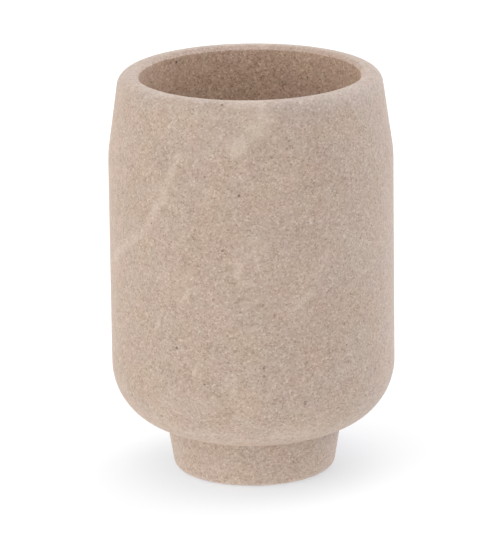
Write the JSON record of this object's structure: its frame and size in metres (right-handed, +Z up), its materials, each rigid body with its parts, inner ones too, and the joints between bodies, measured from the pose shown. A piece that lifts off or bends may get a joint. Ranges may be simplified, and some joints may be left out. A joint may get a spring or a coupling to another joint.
{
  "type": "bathroom tumbler",
  "caption": "Footed round tumbler turned from pale sandstone, with a straight-walled cavity, a band under the rim that leans inwards, and a non-slip pad under the foot.",
  "frame": {"origin": "centre of the flat face that the tumbler stands on, which is the pad's underside", "axes": "+Z up along the tumbler's axis, out of its mouth; X and Y are level, and the tumbler is round, so they can be turned freely"},
  "size_m": [0.08, 0.08, 0.1148],
  "materials": {
    "sandstone": "honed fine-grained sandstone, sealed, matte",
    "pad_foam": "closed-cell foam, matte, light grey",
    "adhesive_film": "thin clear-yellow adhesive film"
  },
  "bodies": {
    "root": {"stone_body": "sandstone", "base_pad": "pad_foam", "pad_adhesive": "adhesive_film"}
  },
  "joints": []
}
